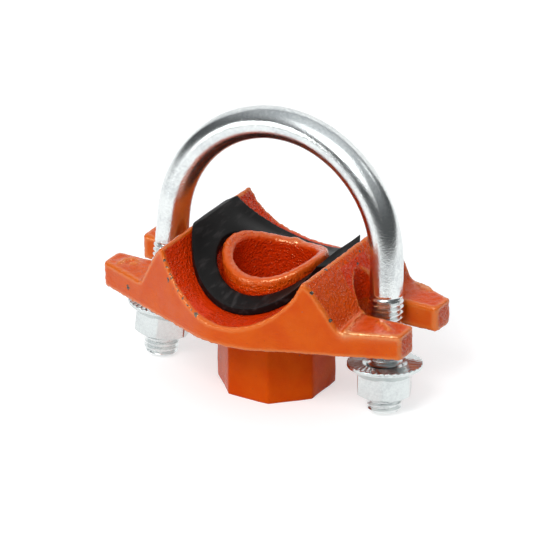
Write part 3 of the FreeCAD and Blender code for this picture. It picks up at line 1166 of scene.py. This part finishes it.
@dataclass
class FlangeNut(Piece):
    """Hexagon nut forged in one with a conical flange, serrated where it bites."""

    side: int
    turn: float
    rise: float
    bolt: UBolt
    flats: float = 15.0
    end_radius: float = 7.0
    cone_slope: float = 30.0
    height: float = 10.0
    flange_radius: float = 10.95
    flange_height: float = 3.6
    flange_rim: float = 1.25
    flange_root: float = 7.8
    recess_radius: float = 6.3
    recess_depth: float = 0.7
    bore: float = 5.08
    mouth: float = 0.4
    # Slanted saw teeth, each some columns of faces wide, between two margins of the face
    teeth: int = 36
    columns: int = 4
    tooth_height: float = 0.4
    tooth_slant: float = 14.0
    margins: Span = (0.35, 0.15)
    voxel: float = 0.16
    smoothing: int = 2
    corner_bevel: float = 0.35
    cone_steps: int = 144
    bore_steps: int = 96

    def build(self) -> Shape:
        """Forge the nut: barrel, flange, bore, serrations, and soft edges.

        Returns:
            The nut, on its leg.
        """
        nut = self.barrel()
        combine(nut, "UNION", self.flange())
        combine(nut, "DIFFERENCE", self.bore_tool())
        nut.name = f"flange_{self.node}"
        reskin(nut, self.voxel, self.smoothing)
        nut.data.transform(self.place())
        nut.data.update()
        keep_in_box(nut, self.node)
        return nut

    def place(self) -> Matrix:
        """Place the nut on its leg.

        Returns:
            Its placement in metres.
        """
        tip = Matrix.Translation((self.side * self.bolt.tip_reach, 0, 0))
        splay = Matrix.Rotation(math.radians(-self.side * self.bolt.splay), 4, "Y")
        raised = Matrix.Translation((0, 0, self.rise))
        turned = Matrix.Rotation(math.radians(self.turn), 4, "Z")
        placed = self.bolt.place() @ tip @ splay @ raised @ turned
        return Matrix.Scale(MM, 4) @ placed @ Matrix.Scale(1 / MM, 4)

    def barrel(self) -> Shape:
        """Make the hexagon with soft corners, turned down to a cone at its free end.

        Returns:
            The barrel.
        """
        corner = self.flats / 2 / math.cos(math.pi / 6)
        depth = self.height - self.flange_height / 2
        bpy.ops.object.select_all(action="DESELECT")
        bpy.ops.mesh.primitive_cylinder_add(
            vertices=6,
            radius=corner * MM,
            depth=depth * MM,
            location=(0, 0, depth / 2 * MM),
            rotation=(0, 0, math.radians(30)),
        )
        barrel = bpy.context.object
        bpy.ops.object.transform_apply(location=True, rotation=True, scale=True)
        self.soften_corners(barrel)
        wide = self.flange_radius
        shoulder = (wide - self.end_radius) * math.tan(math.radians(self.cone_slope))
        cone = [(0, 0, 0), (self.end_radius, 0, 0), (wide, 0, shoulder), (wide, 0, depth)]
        combine(barrel, "INTERSECT", lathe("cone_tool", [*cone, (0, 0, depth)], self.cone_steps))
        return barrel

    def soften_corners(self, barrel: Shape) -> None:
        """Bevel the six upright edges of the barrel.

        Args:
            barrel: The barrel.
        """
        with editing(barrel):
            bpy.ops.mesh.select_mode(type="EDGE")
            bpy.ops.mesh.select_all(action="DESELECT")
        verts = barrel.data.vertices
        for edge in barrel.data.edges:
            first, second = (verts[i].co for i in edge.vertices)
            edge.select = abs(first.z - second.z) > TINY
        choose(barrel)
        bpy.ops.object.mode_set(mode="EDIT")
        bpy.ops.mesh.bevel(offset=self.corner_bevel * MM, segments=3)
        bpy.ops.object.mode_set(mode="OBJECT")

    def flange(self) -> Shape:
        """Turn the cone and its rim, and raise the teeth on the face.

        Returns:
            The flange.
        """
        tooth_in = self.recess_radius + self.margins[0]
        tooth_out = self.flange_radius - self.margins[1]
        base = self.height - self.tooth_height
        foot = self.height - self.flange_height
        recess = self.height - self.recess_depth
        slant = math.radians(self.tooth_slant)

        def on_base(radius: float, share: float) -> Point:
            """Corner of the face's base, turned by a share of the teeth's slant."""
            return (radius * math.cos(slant * share), radius * math.sin(slant * share), base)

        profile = [
            (0, 0, foot),
            (self.flange_root, 0, foot),
            (self.flange_radius, 0, self.height - self.flange_rim),
            on_base(self.flange_radius, 1),
            on_base(tooth_out, 1),
            on_base((tooth_in + tooth_out) / 2, 0.5),
            on_base(tooth_in, 0),
            (self.recess_radius, 0, base),
            (self.recess_radius - self.recess_depth, 0, recess),
            (0, 0, recess),
        ]
        steps = self.teeth * self.columns
        flange = lathe("flange", profile, steps)
        points = read_points(flange)
        reach = reach_of(points)
        on_face = (np.abs(points[:, 2] - base) < 0.01) & (reach > tooth_in - 0.01)
        share = np.clip((reach - tooth_in) / (tooth_out - tooth_in), 0, 1)
        angle = np.arctan2(points[:, 1], points[:, 0]) - slant * share
        column = np.rint(angle / FULL_TURN * steps).astype(int) % self.columns
        lift = self.tooth_height * column / (self.columns - 1)
        points[:, 2] += np.where(on_face, lift, 0)
        write_points(flange, points)
        return flange

    def bore_tool(self) -> Shape:
        """Turn the solid of the bore with its two countersinks.

        Returns:
            The tool.
        """
        top = self.height - self.recess_depth
        wide = self.bore + self.mouth
        profile = [
            (0, 0, -1),
            (wide + 1, 0, -1),
            (wide, 0, 0),
            (self.bore, 0, self.mouth),
            (self.bore, 0, top - self.mouth),
            (wide, 0, top),
            (wide + 1, 0, top + 1),
            (0, 0, top + 1),
        ]
        return lathe("bore_tool", profile, self.bore_steps)


# Studio


@dataclass(frozen=True)
class SoftBox:
    """A rectangular studio light that looks at the object.

    Its azimuth counts from the front towards the right, its sides and distance are in
    metres, and brightness is what it shows in a mirror, where 1 is white.
    """

    name: str
    azimuth: float
    elevation: float
    width: float
    height: float
    brightness: float
    distance: float = 1.5

    def build(self, aim: Vector) -> None:
        """Hang the light and turn it to the object.

        Args:
            aim: The point it looks at, in metres.
        """
        away = direction(self.azimuth, self.elevation)
        light = bpy.data.lights.new(self.name, "AREA")
        light.shape = "RECTANGLE"
        light.size, light.size_y = self.width, self.height
        light.energy = math.pi * self.brightness * self.width * self.height
        lamp = bpy.data.objects.new(self.name, light)
        bpy.context.scene.collection.objects.link(lamp)
        lamp.location = aim + away * self.distance
        lamp.rotation_euler = away.to_track_quat("Z", "Y").to_euler()
        lamp.visible_camera = False


def direction(azimuth: float, elevation: float) -> Vector:
    """Point away from the object.

    Args:
        azimuth: Degrees from the front towards the right.
        elevation: Degrees above the floor.

    Returns:
        The unit vector.
    """
    around, up = math.radians(azimuth), math.radians(elevation)
    flat = math.cos(up)
    return Vector((math.sin(around) * flat, -math.cos(around) * flat, math.sin(up)))


@dataclass
class Studio:
    """White sweep, soft lights and the camera at the photograph's angle."""

    azimuth: float = 31.388
    elevation: float = 25.725
    roll: float = -0.703
    distance: float = 1590.5
    aim: Point = (-1.870, 0.0, 34.172)
    lens: float = 369.05
    sensor: float = 36.0
    sweep_size: float = 8.0
    # Height of a direction into the room, from 0 at the horizon to 1, and its level
    room: Sequence[Span] = ((0.35, 0.1), (0.75, 0.46), (1.0, 0.8))
    room_tint: Point = (0.97, 1.0, 1.03)
    lights: Sequence[SoftBox] = (
        SoftBox("key_core", 9, 46, 0.5, 0.5, 12.4),
        SoftBox("left_key", -33, 8, 0.4, 0.3, 9.5),
        SoftBox("front_softbox", 13, 50, 1.5, 1.2, 1.1),
        SoftBox("back_softbox", 203, 22, 3.4, 1.3, 0.9),
        SoftBox("side_strip", 121, 45, 0.3, 0.3, 1.4),
    )

    def build(self) -> None:
        """Set the stage, the lights and the camera."""
        self.floor()
        self.world()
        self.camera()
        for light in self.lights:
            light.build(Vector(self.aim) * MM)
        bpy.context.scene.view_settings.view_transform = "Standard"

    def floor(self) -> None:
        """Lay the white sweep."""
        bpy.ops.object.select_all(action="DESELECT")
        bpy.ops.mesh.primitive_plane_add(size=self.sweep_size)
        floor = bpy.context.object
        floor.name = "white_sweep"
        dress(floor, WhiteSweep().material())

    def world(self) -> None:
        """Light the room plainly from all sides."""
        world = bpy.data.worlds.new("plain_room")
        bpy.context.scene.world = world
        add = empty_tree(world)
        up = add("SeparateXYZ", {0: add("TexCoord", give="Generated")}, give="Z")
        tones = [
            (height, (*(tint * level for tint in self.room_tint), 1)) for height, level in self.room
        ]
        light = add("Background", {"Color": add("ValToRGB", {"Fac": up}, tones)})
        add("OutputWorld", {"Surface": light})

    def camera(self) -> None:
        """Place the camera, a little rolled as in the photograph."""
        around = math.radians(self.azimuth)
        right = Vector((math.cos(around), math.sin(around), 0))
        back = direction(self.azimuth, self.elevation)
        over = back.cross(right)
        roll = math.radians(self.roll)
        side = right * math.cos(roll) + over * math.sin(roll)
        top = over * math.cos(roll) - right * math.sin(roll)
        data = bpy.data.cameras.new("photo_camera")
        data.sensor_width = self.sensor
        data.lens = self.lens
        camera = bpy.data.objects.new("photo_camera", data)
        bpy.context.scene.collection.objects.link(camera)
        turned = Matrix((side, top, back)).transposed().to_4x4()
        spot = (Vector(self.aim) + back * self.distance) * MM
        camera.matrix_world = Matrix.Translation(spot) @ turned
        bpy.context.scene.camera = camera


# Places of the chips in the paint, by their radius
CHIP_PLACES = {
    0.8: ((-8.3, -30.1, 31.3),),
    0.75: ((-38.5, -18.7, 27.8), (25.9, -23.1, 43.4), (30.8, -21.1, 35.0)),
    0.6: ((-20.3, -25.7, 37.4), (24.1, -12.2, 45.5), (26.6, 1.2, 42.4)),
    0.35: (
        *((25.0, 5.2, 44.4), (25.1, 0.7, 44.4), (25.2, -1.8, 44.2), (25.2, -4.1, 44.2)),
        *((-21.7, -24.8, 43.0), (-19.2, -25.7, 39.2), (-18.1, -26.6, 35.4)),
        *((-17.1, -26.5, 36.9), (-13.9, -28.0, 34.2), (-6.6, -30.7, 30.8)),
    ),
}
CHIPS = tuple(Mark(at, radius) for radius, places in CHIP_PLACES.items() for at in places)
# Paint rubbed through in dashes along the saddle's front edge, on the left, at angles
# from the saddle's lowest point. The wings taper, so the edge recedes outwards.
RUB_RADIUS, RUB_WIDTH, RUB_FRONT, RUB_TAPER = 24.9, 0.42, -33.3, 9.7
EDGE_WEAR = tuple(
    Mark(
        (
            -RUB_RADIUS * math.sin(turn),
            RUB_FRONT + RUB_TAPER * math.sin(turn),
            Casting.saddle_axis - RUB_RADIUS * math.cos(turn),
        ),
        RUB_WIDTH,
    )
    for turn in (0.42, 0.5, 0.6, 0.7, 0.76, 0.86, 0.92, 1.0, 1.08)
)
# Ridges on the lugs' tops: radius, height, and corners seen from above
LUG_RIDGES = (
    # Curl and dash on the left lug
    (0.7, 0.8, ((-44.6, -13.5), (-44.4, -11.4), (-43.8, -10.0), (-42.8, -9.2), (-40.9, -9.8))),
    (0.6, 0.7, ((-41.5, -12.2), (-40.3, -11.4))),
    # Three bars on the right lug, behind its slot
    (0.5, 0.45, ((36.4, 18.3), (39.6, 15.6))),
    (0.5, 0.45, ((38.0, 18.5), (41.1, 15.6))),
    (0.5, 0.45, ((39.6, 18.5), (42.6, 15.6))),
    # Worn pad on the right lug, in front of its slot
    (0.8, 0.95, ((40.2, -9.8), (42.3, -10.5), (44.4, -12.0))),
    # Rib at the foot of the right wing, and the low bead along the lug's front edge
    (0.9, 0.7, ((34.6, -19.6), (33.4, -12.7), (32.6, -6.4))),
    (0.8, 0.35, ((34.6, -19.6), (42.0, -17.4), (48.4, -15.2))),
)
RIDGES = (
    *(
        Ridge(tuple((*place, Casting.lug_top) for place in places), radius, height)
        for radius, height, places in LUG_RIDGES
    ),
    # Lump on the collar's rim
    Ridge(((-1.4, 13.9, 38.3),), 1.4, 0.7),
)


def attach(piece: Shape, body: str, node: str | None) -> None:
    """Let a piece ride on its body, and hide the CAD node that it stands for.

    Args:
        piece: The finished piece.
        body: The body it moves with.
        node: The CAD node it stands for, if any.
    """
    if node:
        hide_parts(node)
    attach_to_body(piece, body)
    LOG.info("%s: %d faces", piece.name, len(piece.data.polygons))


def main() -> None:
    """Build the studio and every piece, in order."""
    logging.basicConfig(level=logging.INFO, format="%(name)s: %(message)s")
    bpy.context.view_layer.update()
    Studio().build()
    enamel = EnamelOnCastIron().material()
    rubber = MouldedRubber().material()
    drawn = BrightZincPlate("bright_zinc_on_drawn_bar", Follow.BAR).material()
    forged = BrightZincPlate(
        "bright_zinc_on_forged_nut", Follow.SPACE, light="#D8DEDD", dull="#CCD2D2", pit_depth=0.012
    ).material()
    bolt = UBolt(drawn, "u_bolt", "u_bolt", "zinc_plate")
    pieces = [
        Casting(enamel, "housing", "housing", "housing_paint", CHIPS + EDGE_WEAR, RIDGES),
        OutletThread(enamel, "housing", None, "housing_paint"),
        SaddleGasket(rubber, "housing", "gasket", "gasket_rubber"),
        bolt,
    ]
    for node, side, turn, rise in (("nut_left", -1, -12.8, 6.2), ("nut_right", 1, -5.0, 4.6)):
        pieces.append(FlangeNut(forged, node, node, "zinc_plate", side, turn, rise, bolt))
    for piece in pieces:
        piece.install()


if __name__ == "__main__":
    main()
